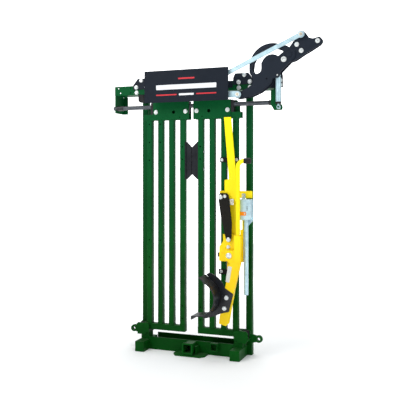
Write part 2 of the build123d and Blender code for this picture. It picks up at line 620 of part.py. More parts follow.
with BuildPart() as drive_link:
    shape = [(257, 1278), (272, 1291), (322, 1291), (338, 1278), (342, 1250), (350, 1180), (366, 1060),
             (362, 940), (354, 918), (339, 908), (324, 916), (316, 942), (276, 1107), (257, 1240)]
    plate(shape, -92, -84)
    disc(PIN_B[0], PIN_B[1], 8.2, -93, -83, mode=Mode.SUBTRACT)
    disc(PIN_C[0], PIN_C[1], 8.2, -93, -83, mode=Mode.SUBTRACT)
    disc(309, 1266, 6.5, -93, -83, mode=Mode.SUBTRACT)
write(drive_link, "drive_link")

with BuildPart() as drive_link_bolts:
    bolt(PIN_C[0], PIN_C[1], -92, 16, 34, head=6)
    bolt(PIN_B[0], PIN_B[1], -92, 16, 36, head=6)
    bolt(309, 1266, -92, 12, 8, head=6)
write(drive_link_bolts, "drive_link_bolts")

with BuildPart() as carriage:
    sheet = [(286, 968), (286, 912), (256, 872), (252, 766), (262, 755), (452, 755), (452, 1008), (428, 1008),
             (428, 968)]
    plate(sheet, -66, -58)
    block(444, 452, -58, -40, 755, 1008)
    block(256, 330, -71, -66, 757, 822)
    block(300, 311.4, -58, -27, 765, 960)
    block(400.6, 412, -58, -27, 765, 960)
    block(311.4, 322, -32.2, -27, 765, 960)
    block(390, 400.6, -32.2, -27, 765, 960)
    disc(PIN_C[0], PIN_C[1], 12, -67, -57, mode=Mode.SUBTRACT)
    disc(ARM_A[0], ARM_A[1], 24, -95, -66)
    disc(ARM_A[0], ARM_A[1], 14, -131, -95)
    with BuildSketch(xz(-130.6)) as nut:
        with Locations(ARM_A):
            RegularPolygon(radius=22, side_count=6)
    extrude(nut.sketch, amount=9.4)
    bolt(330, 868, -66, 14, 2, head=7)
    upright(445, -50, 6.5, 1007, 1172)
write(carriage, "carriage")

with BuildPart() as bump_stop:
    block(243, 252, -68, -56, 789, 822)
write(bump_stop, "bump_stop")

with BuildPart() as lock_tube:
    upright(LOCK_X, LOCK_Y, LOCK_R, 502, 1200)
    upright(LOCK_X, LOCK_Y, LOCK_R - 3, 506, 1201, mode=Mode.SUBTRACT)
    block(452.2, 458, -66, -54, 780, 980)
write(lock_tube, "lock_tube")

with BuildPart() as lock_box:
    body = [(432, 1084), (502, 1084), (520, 1104), (520, 1245), (432, 1245)]
    plate(body, -95, -35)
    hollow = [(437, 1083), (500, 1083), (515, 1106), (515, 1240), (437, 1240)]
    plate(hollow, -91, -39, mode=Mode.SUBTRACT)
    block(434, 462, -46, -41.5, 1245, 1288)
    disc(446, 1272, 6.5, -47, -40, mode=Mode.SUBTRACT)
    for z in (1160, 1172, 1184):
        block(484, 498, -96, -90, z, z + 5, mode=Mode.SUBTRACT)
    disc(474, 1133, 5, -100, -95)
write(lock_box, "lock_box")

with BuildPart() as lock_plates:
    for z in (1120, 1130, 1140):
        block(454, 513, -89, -41, z, z + 6)
    upright(LOCK_X, LOCK_Y, LOCK_R + 0.3, 1110, 1150, mode=Mode.SUBTRACT)
write(lock_plates, "lock_plates")

with BuildPart() as release_tab:
    shape = [(432, 1119), (432, 1147), (478, 1147), (484, 1140), (484, 1126), (478, 1119)]
    plate(shape, -99, -95.4)
    disc(474, 1133, 5 + RUN, -101, -94, mode=Mode.SUBTRACT)
write(release_tab, "release_tab")

with BuildPart() as swing_arm:
    shape = [(326, 846), (322, 786), (362, 750), (281, 338), (274, 276), (330, 262), (350, 284), (398, 545),
             (448, 757), (448, 965), (402, 965), (402, 858), (386, 846)]
    plate(shape, -130, -96, corner=6)
    pocket = [(368, 742), (289, 345), (282, 284), (327, 271), (343, 288), (391, 546), (437, 742)]
    plate(pocket, -124, -95, mode=Mode.SUBTRACT)
    upright(TUBE_X, TUBE_Y, TUBE_R + 0.3, 792, 966, mode=Mode.SUBTRACT)
    block(400, 450, -140, -120, 758, 965)
    upright(TUBE_X, TUBE_Y, TUBE_R + 0.3, 792, 966, mode=Mode.SUBTRACT)
    disc(ARM_A[0], ARM_A[1], 14 + RUN, -141, -94, mode=Mode.SUBTRACT)
    disc(405, 902, 4, -141, -137, mode=Mode.SUBTRACT)
    for x, z in ARM_BOLTS:
        disc(x, z, 8.2, -131, -120, mode=Mode.SUBTRACT)
write(swing_arm, "swing_arm")

with BuildPart() as hand_tube:
    with BuildLine(Plane.XZ.offset(-TUBE_Y)) as route:
        l1 = Line((TUBE_X, 794), (TUBE_X, 1494))
        l2 = RadiusArc(l1 @ 1, (TUBE_X + 47, 1541), 47)
        l3 = Line(l2 @ 1, (TUBE_X + 96, 1541))
    with BuildSketch(Plane.XY.offset(794)) as ring:
        with Locations((TUBE_X, TUBE_Y)):
            Circle(TUBE_R)
            Circle(TUBE_R - 3, mode=Mode.SUBTRACT)
    sweep(sections=ring.sketch, path=route.line)
write(hand_tube, "hand_tube")

with BuildPart() as hand_grip:
    across(TUBE_Y, 1541, 22, 476, 529)
    across(TUBE_Y, 1541, TUBE_R + 0.3, 475, 522, mode=Mode.SUBTRACT)
    fillet(hand_grip.faces().filter_by(Axis.X).sort_by(Axis.X)[-1].edges(), 6)
write(hand_grip, "hand_grip")

with BuildPart() as cradle:
    inner = arc(CRADLE, CRADLE_R + 5, -72, 62, 20)
    shape = [(112, 326), (165, 311), (230, 330), (288, 357), (357, 375), (392, 514), (328, 554)] + arc(
        CRADLE, 188, 24, 76, 10) + [(172, 658)] + inner[::-1] + [(112, 344)]
    plate(shape, -138, -130.2)
    outside = arc(CRADLE, CRADLE_R + 8, -75, 62, 24)
    inside = arc(CRADLE, CRADLE_R, 62, -75, 24)
    trough = [(106, 345), (106, 326), (98, 326), (98, 352)] + inside[::-1] + [(160, 648), (165.2, 654.1)]
    trough = trough + outside[::-1]
    plate(trough, -280, -130.2)
    for x, z in ARM_BOLTS:
        disc(x, z, 8.2, -139, -129, mode=Mode.SUBTRACT)
write(cradle, "cradle")

with BuildPart() as arm_bolts:
    for x, z in ARM_BOLTS:
        bolt(x, z, -138, 16, 18, head=9)
write(arm_bolts, "arm_bolts")

print("parts written:", len(os.listdir("parts")))
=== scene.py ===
"""Looks for a cattle head gate with a head holder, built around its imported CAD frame.

+X is to the right, +Y is away from the viewer, +Z is up, and the origin is on the ground under
the line where the two doors meet. Blender works in metres. The places and sizes of added details
are in millimetres, as in the CAD source, and are multiplied by MM where a mesh is made.
"""

import math
import random

import bmesh
import bpy
from mathutils import Matrix, Vector


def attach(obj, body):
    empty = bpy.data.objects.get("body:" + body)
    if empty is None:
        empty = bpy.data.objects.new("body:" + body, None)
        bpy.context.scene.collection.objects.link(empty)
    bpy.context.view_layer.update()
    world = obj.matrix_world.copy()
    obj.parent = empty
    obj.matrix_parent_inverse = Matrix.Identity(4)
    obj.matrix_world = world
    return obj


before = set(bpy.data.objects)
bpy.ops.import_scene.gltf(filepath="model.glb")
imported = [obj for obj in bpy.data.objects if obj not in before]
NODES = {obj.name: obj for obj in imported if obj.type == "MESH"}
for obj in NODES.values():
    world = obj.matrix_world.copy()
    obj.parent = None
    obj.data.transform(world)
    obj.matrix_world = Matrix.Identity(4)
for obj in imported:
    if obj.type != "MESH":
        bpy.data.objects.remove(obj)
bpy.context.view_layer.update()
RNG = random.Random(7)
MM = 0.001


# ---------------------------------------------------------------------------
# Materials
# ---------------------------------------------------------------------------
class Graph:
    """Adds nodes to one material and links them by short calls."""

    def __init__(self, name):
        self.material = bpy.data.materials.new(name)
        self.material.use_nodes = True
        self.tree = self.material.node_tree
        self.tree.nodes.clear()
        out = self.add("ShaderNodeOutputMaterial")
        self.shader = self.add("ShaderNodeBsdfPrincipled")
        self.link(self.shader.outputs[0], out.inputs[0])
        self.coords = self.add("ShaderNodeTexCoord").outputs["Object"]

    def add(self, kind, **settings):
        node = self.tree.nodes.new(kind)
        for key, value in settings.items():
            setattr(node, key, value)
        return node

    def link(self, a, b):
        self.tree.links.new(a, b)

    def put(self, node, name, value):
        """Sets an input to a number or a colour, or links it to an output."""
        if hasattr(value, "is_linked"):
            self.link(value, node.inputs[name])
        else:
            node.inputs[name].default_value = value

    def stretched(self, factors):
        """Object coordinates multiplied by a factor along each axis."""
        node = self.add("ShaderNodeMapping")
        self.link(self.coords, node.inputs["Vector"])
        node.inputs["Scale"].default_value = factors
        return node.outputs[0]

    def noise(self, scale, detail=3.0, roughness=0.55, vector=None, distortion=0.0):
        node = self.add("ShaderNodeTexNoise")
        self.link(vector or self.coords, node.inputs["Vector"])
        node.inputs["Scale"].default_value = scale
        node.inputs["Detail"].default_value = detail
        node.inputs["Roughness"].default_value = roughness
        node.inputs["Distortion"].default_value = distortion
        return node.outputs["Fac"]

    def ramp(self, value, low, high, out_low=0.0, out_high=1.0):
        """A smooth step from out_low to out_high as the value goes from low to high."""
        node = self.add("ShaderNodeMapRange", interpolation_type="SMOOTHSTEP")
        self.link(value, node.inputs["Value"])
        limits = {"From Min": low, "From Max": high, "To Min": out_low, "To Max": out_high}
        for key, number in limits.items():
            node.inputs[key].default_value = number
        return node.outputs["Result"]

    def mix(self, fac, a, b):
        """Colour a where the factor is 0 and colour b where it is 1."""
        node = self.add("ShaderNodeMix", data_type="RGBA")
        self.put(node, 0, fac)
        for index, value in ((6, a), (7, b)):
            self.put(node, index, value if hasattr(value, "is_linked") else (*value, 1.0))
        return node.outputs[2]

    def math(self, kind, a, b):
        node = self.add("ShaderNodeMath", operation=kind)
        self.put(node, 0, a)
        self.put(node, 1, b)
        return node.outputs[0]

    def edges(self, radius):
        """1 on convex or concave edges and 0 on flats, and the rounded normal itself."""
        bevel = self.add("ShaderNodeBevel", samples=4)
        bevel.inputs["Radius"].default_value = radius
        geometry = self.add("ShaderNodeNewGeometry")
        dot = self.add("ShaderNodeVectorMath", operation="DOT_PRODUCT")
        self.link(bevel.outputs[0], dot.inputs[0])
        self.link(geometry.outputs["Normal"], dot.inputs[1])
        return self.ramp(dot.outputs["Value"], low=0.995, high=0.86), bevel.outputs[0]

    def up(self):
        """How far the surface faces up, from 0 to 1."""
        geometry = self.add("ShaderNodeNewGeometry")
        split = self.add("ShaderNodeSeparateXYZ")
        self.link(geometry.outputs["Normal"], split.inputs[0])
        return self.ramp(split.outputs["Z"], low=0.35, high=1.0)

    def height(self):
        split = self.add("ShaderNodeSeparateXYZ")
        self.link(self.coords, split.inputs[0])
        return split.outputs["Z"]

    def bump(self, height, strength, distance, normal=None):
        node = self.add("ShaderNodeBump")
        node.inputs["Strength"].default_value = strength
        node.inputs["Distance"].default_value = distance
        self.link(height, node.inputs["Height"])
        if normal is not None:
            self.link(normal, node.inputs["Normal"])
        return node.outputs[0]

    def finish(self, colour, roughness, normal, metallic=0.0, **constants):
        self.put(self.shader, "Base Color", colour)
        self.put(self.shader, "Roughness", roughness)
        self.put(self.shader, "Metallic", metallic)
        self.link(normal, self.shader.inputs["Normal"])
        for key, value in constants.items():
            self.shader.inputs[key.replace("_", " ")].default_value = value
        return self.material


PAINT_DUST = (0.42, 0.42, 0.36)
RUBBER_DUST = (0.30, 0.29, 0.26)
RUBBER_EDGE = (0.14, 0.14, 0.14)
ZINC_SPOT = (0.55, 0.56, 0.55)
# The near-white of the painted highlight along the edges of zinc.
ZINC_EDGE_HIGHLIGHT = (0.9, 0.93, 0.94)
# Heights in metres between which a paint's upper colour comes in, as painted light that grows
# towards the top of the gate.
PAINTED_LIGHT_LOW, PAINTED_LIGHT_HIGH = 0.3, 2.15


def enamel(name, base, deep, pale, rough, *, dust=0.12, worn_and_highlight=(0.30, 0.31, 0.30), wear_and_highlight=0.25,
           gloss=0.25, painted_top_light=None, spec=0.4):
    """Sprayed paint on steel: slow colour drift, orange peel, dust on top faces, worn edges that
    also carry a painted highlight, and painted light towards the top of the gate.

    base, deep and pale are the paint's usual, darkest and lightest colours. The edge colour is
    that of a rubbed edge and also a painted highlight along the edges. The top colour is painted
    light that the paint drifts to towards the top of the gate, where more light falls.
    """
    g = Graph(name)
    drift = g.ramp(g.noise(scale=2.3, detail=4), low=0.3, high=0.7)
    colour = g.mix(drift, deep, base)
    if painted_top_light is not None:
        # Painted light: higher up the gate the paint drifts to its top colour, standing in for the
        # light that falls there.
        colour = g.mix(g.ramp(g.height(), PAINTED_LIGHT_LOW, PAINTED_LIGHT_HIGH), colour, painted_top_light)
    speckle = g.ramp(g.noise(scale=46, detail=5, roughness=0.65), low=0.58, high=0.78,
                     out_high=0.35)
    colour = g.mix(speckle, colour, pale)
    streaky = g.noise(scale=9, detail=4, roughness=0.6, vector=g.stretched((4.0, 4.0, 0.35)))
    colour = g.mix(g.ramp(streaky, low=0.55, high=0.8, out_high=0.22), colour, deep)
    patches = g.ramp(g.noise(scale=13, detail=5), low=0.25, high=0.75,
                     out_low=dust * 0.4, out_high=dust * 1.6)
    colour = g.mix(g.math("MULTIPLY", g.up(), patches), colour, PAINT_DUST)
    edge, rounded = g.edges(1.8 * MM)
    # Edge wear broken into chips. Its lighter colour is also a painted highlight along convex and
    # concave edges.
    chips_and_highlight = g.ramp(g.noise(scale=34, detail=5, roughness=0.7), low=0.46, high=0.68, out_high=wear_and_highlight)
    colour = g.mix(g.math("MULTIPLY", edge, chips_and_highlight), colour, worn_and_highlight)
    peel = g.noise(scale=330, detail=2, roughness=0.5)
    dents = g.noise(scale=17, detail=2, roughness=0.4)
    height = g.math("ADD", peel, g.math("MULTIPLY", dents, 1.6))
    normal = g.bump(height, strength=0.16, distance=0.5 * MM, normal=rounded)
    roughness = g.ramp(g.noise(scale=21, detail=4), low=0.2, high=0.8,
                       out_low=rough - 0.07, out_high=rough + 0.12)
    return g.finish(colour, roughness, normal, Coat_Weight=gloss, Coat_Roughness=0.12,
                    Specular_IOR_Level=spec)


def zinc(name, base, deep, metallic=0.55, rough=0.36):
    """Bright plated or drawn steel: cool, cloudy, with faint drawing lines."""
    g = Graph(name)
    cloud = g.ramp(g.noise(scale=26, detail=5, roughness=0.6, distortion=0.6), low=0.3, high=0.72)
    colour = g.mix(cloud, deep, base)
    spots = g.ramp(g.noise(scale=140, roughness=0.6), low=0.62, high=0.8, out_high=0.3)
    colour = g.mix(spots, colour, ZINC_SPOT)
    edge, rounded = g.edges(1.0 * MM)
    # A painted highlight: every edge is mixed a third of the way towards near-white.
    colour = g.mix(g.math("MULTIPLY", edge, 0.35), colour, ZINC_EDGE_HIGHLIGHT)
    lines = g.noise(scale=60, roughness=0.6, vector=g.stretched((12.0, 12.0, 0.6)))
    grain = g.noise(scale=420, detail=2)
    normal = g.bump(g.math("ADD", lines, grain), strength=0.12, distance=0.3 * MM, normal=rounded)
    roughness = g.ramp(g.noise(scale=48, detail=4), low=0.25, high=0.75,
                       out_low=rough - 0.08, out_high=rough + 0.14)
    return g.finish(colour, roughness, normal, metallic)


def moulded(name, base, pale, *, rough, grain, depth, dust=0.15):
    """Rubber or moulded plastic with a pebbled grain of the given scale and depth."""
    g = Graph(name)
    colour = g.mix(g.ramp(g.noise(scale=11, detail=5), low=0.3, high=0.75), base, pale)
    streaky = g.noise(scale=70, detail=4, roughness=0.7, vector=g.stretched((1.0, 1.0, 3.0)))
    scuffed = tuple(min(1.0, c * 2.2 + 0.005) for c in pale)
    colour = g.mix(g.ramp(streaky, low=0.6, high=0.8, out_high=0.35), colour, scuffed)
    colour = g.mix(g.math("MULTIPLY", g.up(), dust), colour, RUBBER_DUST)
    edge, rounded = g.edges(1.5 * MM)
    colour = g.mix(g.math("MULTIPLY", edge, 0.18), colour, RUBBER_EDGE)
    normal = g.bump(g.noise(scale=grain, roughness=0.6), strength=0.3, distance=depth,
                    normal=rounded)
    roughness = g.ramp(g.noise(scale=30), low=0.2, high=0.8,
                       out_low=rough - 0.1, out_high=rough + 0.1)
    return g.finish(colour, roughness, normal, Specular_IOR_Level=0.2)


GREEN = enamel("green_enamel", base=(0.0030, 0.078, 0.0075), deep=(0.0015, 0.046, 0.004),
               pale=(0.006, 0.120, 0.018), painted_top_light=(0.0030, 0.078, 0.022),
               worn_and_highlight=(0.03, 0.12, 0.05), rough=0.36, dust=0.03, wear_and_highlight=0.4, gloss=0.0, spec=0.05)
SLATE = enamel("slate_powder_coat", base=(0.0110, 0.0165, 0.0270), deep=(0.0080, 0.0120, 0.0195),
               pale=(0.018, 0.025, 0.037), worn_and_highlight=(0.07, 0.08, 0.10),
               rough=0.50, dust=0.05, wear_and_highlight=0.5, gloss=0.0, spec=0.15)
BLACK = enamel("black_powder_coat", base=(0.0080, 0.0068, 0.0052), deep=(0.0050, 0.0042, 0.0034),
               pale=(0.016, 0.014, 0.012), worn_and_highlight=(0.07, 0.065, 0.06),
               rough=0.48, dust=0.05, wear_and_highlight=0.5, gloss=0.0, spec=0.14)
TROUGH = enamel("trough_powder_coat", base=(0.0070, 0.0085, 0.0120), deep=(0.0045, 0.0055, 0.0080),
                pale=(0.018, 0.021, 0.028), worn_and_highlight=(0.10, 0.11, 0.13),
                rough=0.30, dust=0.05, wear_and_highlight=0.6, gloss=0.06, spec=0.35)
YELLOW = enamel("yellow_enamel", base=(1.0, 0.72, 0.0020), deep=(0.98, 0.58, 0.0015),
                pale=(1.0, 0.80, 0.015), painted_top_light=(1.0, 0.88, 0.0040), worn_and_highlight=(0.60, 0.40, 0.06),
                rough=0.38, dust=0.03, wear_and_highlight=0.35, gloss=0.03, spec=0.22)
SIGN = enamel("sign_enamel", base=(0.0085, 0.0130, 0.0215), deep=(0.0065, 0.0100, 0.0170),
              pale=(0.012, 0.017, 0.026), worn_and_highlight=(0.12, 0.14, 0.17),
              rough=0.50, dust=0.04, wear_and_highlight=0.4, gloss=0.0, spec=0.12)
WHITE = enamel("white_print", base=(0.78, 0.80, 0.82), deep=(0.70, 0.72, 0.75),
               pale=(0.84, 0.86, 0.88), rough=0.4, wear_and_highlight=0.1)
RED = enamel("red_print", base=(0.62, 0.010, 0.022), deep=(0.50, 0.006, 0.015),
             pale=(0.72, 0.03, 0.04), rough=0.4, wear_and_highlight=0.1)
LABEL = enamel("blank_label", base=(0.72, 0.72, 0.66), deep=(0.62, 0.62, 0.58),
               pale=(0.80, 0.80, 0.76), rough=0.45, wear_and_highlight=0.2)
STEEL = zinc("drawn_steel", base=(0.085, 0.095, 0.110), deep=(0.045, 0.050, 0.060),
             metallic=0.35, rough=0.40)
ZINC = zinc("zinc_plate", base=(0.55, 0.73, 0.79), deep=(0.40, 0.57, 0.64))
BRIGHT = zinc("zinc_fastener", base=(0.82, 0.84, 0.82), deep=(0.60, 0.64, 0.64),
              metallic=0.6, rough=0.3)
BRASS = zinc("yellow_passivate", base=(0.66, 0.58, 0.42), deep=(0.48, 0.40, 0.28),
             metallic=0.6, rough=0.34)
RUBBER = moulded("black_rubber", base=(0.011, 0.011, 0.012), pale=(0.022, 0.022, 0.023),
                 rough=0.62, grain=260, depth=0.35 * MM)
NYLON = moulded("black_nylon", base=(0.016, 0.016, 0.017), pale=(0.028, 0.028, 0.030),
                rough=0.5, grain=520, depth=0.15 * MM)
PAD = moulded("pad_rubber", base=(0.0085, 0.0100, 0.0130), pale=(0.0150, 0.0170, 0.0210),
              rough=0.66, grain=170, depth=0.5 * MM, dust=0.12)
ORANGE = moulded("orange_plastic", base=(0.84, 0.22, 0.006), pale=(0.90, 0.30, 0.012),
                 rough=0.36, grain=600, depth=0.1 * MM, dust=0.03)

CAD_FINISHES = (
    (GREEN, "base_beam feet posts large_receiver receiver_base_plate small_receiver top_beam "
            "guide_brackets pin_lugs left_door_bars left_door_rails right_door_bars "
            "right_door_rails left_hanger_plates right_hanger_plates end_brackets"),
    (SLATE, "clamp_plates sign_brackets lever_bracket lever_front_plate lever_back_plate "
            "lever_tip_plates left_link_lug right_link_lug"),
    (BLACK, "drive_link holder_straps"),
    (TROUGH, "cradle bar_collars"),
    (STEEL, "slide_bar"),
    (YELLOW, "lift_lever carriage swing_arm hand_tube holder_frame"),
    (SIGN, "sign_panel"),
    (ZINC, "upper_link lower_link strut_tube strut_rod lock_tube lock_box lock_plates"),
    (BRIGHT, "frame_bolts lever_bolts left_door_bolts right_door_bolts holder_bolts "
             "drive_link_bolts arm_bolts lever_spacers"),
    (NYLON, "guide_pads left_bushings right_bushings"),
    (RUBBER, "beam_bumpers strut_cap bump_stop hand_grip"),
    (PAD, "left_neck_pad right_neck_pad"),
    (ORANGE, "release_tab"),
)
FINISH = {node_name: material for material, names in CAD_FINISHES for node_name in names.split()}


def dress(node, material):
    """Gives a CAD node its material through the object's own slots."""
    if not node.material_slots:
        node.data.materials.append(material)
    for each in node.material_slots:
        each.link = "OBJECT"
        each.material = material


for node_name, node in NODES.items():
    dress(node, FINISH[node_name])


# ---------------------------------------------------------------------------
# Mesh helpers. Each adds to a bmesh; piece() and stage_object() turn it into an object.
# ---------------------------------------------------------------------------
def mesh_object(name, material, bm):
    mesh = bpy.data.meshes.new(name)
    bm.to_mesh(mesh)
    bm.free()
    mesh.materials.append(material)
    obj = bpy.data.objects.new(name, mesh)
    bpy.context.scene.collection.objects.link(obj)
    return obj


def piece(name, body, material, build, smooth=True):
    bm = bmesh.new()
    build(bm)
    bmesh.ops.recalc_face_normals(bm, faces=bm.faces)
    for face in bm.faces:
        face.smooth = smooth
    obj = mesh_object(name, material, bm)
    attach(obj, body)


def stage_object(name, material, build):
    """A floor or backdrop, which isn't part of the object."""
    bm = bmesh.new()
    build(bm)
    obj = mesh_object(name, material, bm)
    return obj


def metres(point):
    """A place given in millimetres, as a vector in metres."""
    return Vector([c * MM for c in point])


def circle(radius, count):
    turns = [2 * math.pi * i / count for i in range(count)]
    return [(radius * math.cos(turn), radius * math.sin(turn)) for turn in turns]


def spin_profile(bm, centre, axis, profile, sides=28):
    """A turned shape in millimetres, closed at both ends.

    The profile is (distance along the axis, radius) pairs, measured from the centre.
    """
    axis = Vector(axis)
    side = axis.orthogonal().normalized()
    other = axis.cross(side)
    centre = metres(centre)
    rings = [[bm.verts.new(centre + axis * (along * MM) + (side * a + other * b) * (radius * MM))
              for a, b in circle(1.0, sides)] for along, radius in profile]
    for a, b in zip(rings, rings[1:]):
        for i in range(sides):
            j = (i + 1) % sides
            bm.faces.new((a[i], a[j], b[j], b[i]))
    bm.faces.new(rings[0][::-1])
    bm.faces.new(rings[-1])


FRONT, BACK, RIGHT = (0, -1, 0), (0, 1, 0), (1, 0, 0)
WASHER_THICK = 1.8


def washers(spots):
    """Flat rings, each (x, z, depth of the face it lies on, radius, the way it stands out)."""
    rim = 0.35 * WASHER_THICK

    def build(bm):
        for x, z, face, radius, way in spots:
            spin_profile(bm, (x, face, z), way,
                         ((0, radius), (WASHER_THICK - rim, radius), (WASHER_THICK, radius - rim),
                          (WASHER_THICK, radius * 0.55)))
    return build


BEAD_STEP = 3.2        # millimetres from one ripple of a weld to the next
BEAD_SIDES = 6


def weld(bm, points, radius=2.4, closed=False):
    """A rippled weld bead along a line of points, in millimetres."""
    path = [metres(point) for point in points]
    if closed:
        path.append(path[0])
    spots = []
    for a, b in zip(path, path[1:]):
        length = (b - a).length
        count = max(1, round(length / (BEAD_STEP * MM)))
        spots += [(a.lerp(b, i / count), (b - a).normalized()) for i in range(count)]
    if not closed:
        spots.append((path[-1], (path[-1] - path[-2]).normalized()))
    rings = []
    for index, (spot, along) in enumerate(spots):
        side = along.orthogonal().normalized()
        other = along.cross(side)
        ripple = 0.16 if index % 2 else -0.12
        size = radius * MM * (1.0 + ripple + RNG.uniform(-0.1, 0.1))
        if not closed and index in (0, len(spots) - 1):
            size *= 0.5
        rings.append([bm.verts.new(spot + (side * a + other * b) * size)
                      for a, b in circle(1.0, BEAD_SIDES)])
    pairs = list(zip(rings, rings[1:]))
    if closed:
        pairs.append((rings[-1], rings[0]))
    for a, b in pairs:
        # At a bend the next ring may start elsewhere, so it is matched by its nearest turn.
        turns = [[b[(i + shift) % BEAD_SIDES] for i in range(BEAD_SIDES)]
                 for shift in range(BEAD_SIDES)]
        b = min(turns, key=lambda ring: sum((p.co - q.co).length for p, q in zip(a, ring)))
        for i in range(BEAD_SIDES):
            j = (i + 1) % BEAD_SIDES
            bm.faces.new((a[i], a[j], b[j], b[i]))
    if not closed:
        bm.faces.new(rings[0][::-1])
        bm.faces.new(rings[-1])


def rectangle_xy(x0, x1, y0, y1, z):
    return [(x0, y0, z), (x1, y0, z), (x1, y1, z), (x0, y1, z)]


def rectangle_xz(x0, x1, z0, z1, y):
    return [(x0, y, z0), (x1, y, z0), (x1, y, z1), (x0, y, z1)]


def ring_y(x, z, radius, y, count=20):
    """Points on a circle whose axis runs front to back."""
    return [(x + a, y, z + b) for a, b in circle(radius, count)]


def plate(bm, outline, y0, y1):
    """A flat upright plate with an outline in X and Z between two depths, in millimetres."""
    front = [bm.verts.new((x * MM, y0 * MM, z * MM)) for x, z in outline]
    back = [bm.verts.new((x * MM, y1 * MM, z * MM)) for x, z in outline]
    bm.faces.new(front)
    bm.faces.new(back[::-1])
    for i in range(len(outline)):
        j = (i + 1) % len(outline)
        bm.faces.new((front[i], front[j], back[j], back[i]))


CORNER_STEPS = 6


def rounded_bar(bm, x0, x1, y0, y1, z0, z1, corner):
    """A thin plate with rounded corners in X and Z, in millimetres."""
    outline = []
    for cx, cz, start in ((x1 - corner, z1 - corner, 0), (x0 + corner, z1 - corner, 90),
                          (x0 + corner, z0 + corner, 180), (x1 - corner, z0 + corner, 270)):
        for i in range(CORNER_STEPS + 1):
            turn = math.radians(start + 90 * i / CORNER_STEPS)
            outline.append((cx + corner * math.cos(turn), cz + corner * math.sin(turn)))
    plate(bm, outline, y0, y1)


# ---------------------------------------------------------------------------
# Welds. The gate is nearly symmetrical, so side is -1 for its left half and 1 for its right.
# ---------------------------------------------------------------------------
# Names as in the CAD. X places are counted outwards from the middle where side multiplies them.
DOOR_TUBES = ((57.0, 99.7), (155.0, 197.7), (253.0, 295.7), (351.0, 393.7))
DOOR_HALF_DEPTH = 25
DOOR_TUBE_ENDS = (210, 1881)
HANGER_FACES = (-25.5, 25.5)
HANGER_X, HANGER_Z = (22, 334), 1883
HANGER_EDGE_X, HANGER_EDGE_Z = 336, (1885, 1930)
# The outer x of each cheek of a link lug, by side, with the way to its inner face.
LUG_CHEEKS = {-1: ((-97, 1), (-23, -1)), 1: ((62, 1), (142, -1))}
LUG_CHEEK_THICK = 8
LUG_BACK, LUG_FRONT, LUG_Z = -31, -104, (2033, 2073)

POST_X, POST_Y = (431, 481), (71, 121)
BEAM_UNDERSIDE, BEAM_TOP = 2099.5, 2177.5
SILL_TOP = 80
FOOT_X, FOOT_Y = 365, (-40, 121)
GUIDE_LEG_X, GUIDE_LEG_Y = (368, 438), (-38, 40)
GUIDE_PLATE_X, GUIDE_PLATE_Y, GUIDE_PLATE_Z = (368, 478), (-36, 36), 143.5
PIN_EYE, PIN_EYE_RADIUS, PIN_EYE_FACES = (545, 140), 27, (46, 60)
END_PLATE_X, END_PLATE_Y, END_PLATE_Z = (686, 695), (-14, 118), 2099.8
SILL_FRONT, SOCKET_COLLAR = -40.5, -137.5
# x0, x1, z0 and z1 of each square socket's outside.
LARGE_SOCKET = (-20.1, 56.1, 24.9, 101.1)
SMALL_SOCKET = (180.2, 243.8, 40.2, 102.5)
BASE_PLATE_TOP = 12


def door_welds(side):
    def build(bm):
        for inner, outer in DOOR_TUBES:
            x0, x1 = sorted((side * inner, side * outer))
            for z in DOOR_TUBE_ENDS:
                weld(bm, rectangle_xy(x0, x1, -DOOR_HALF_DEPTH, DOOR_HALF_DEPTH, z), 2.3, True)
        for y in HANGER_FACES:
            weld(bm, [(side * x, y, HANGER_Z) for x in HANGER_X], 2.6)
            weld(bm, [(side * HANGER_EDGE_X, y, z) for z in HANGER_EDGE_Z], 2.4)
        for x, inward in LUG_CHEEKS[side]:
            weld(bm, [(x, LUG_BACK, z) for z in LUG_Z], 2.4)
            weld(bm, [(x + LUG_CHEEK_THICK * inward, LUG_FRONT, z) for z in LUG_Z], 2.2)
    return build


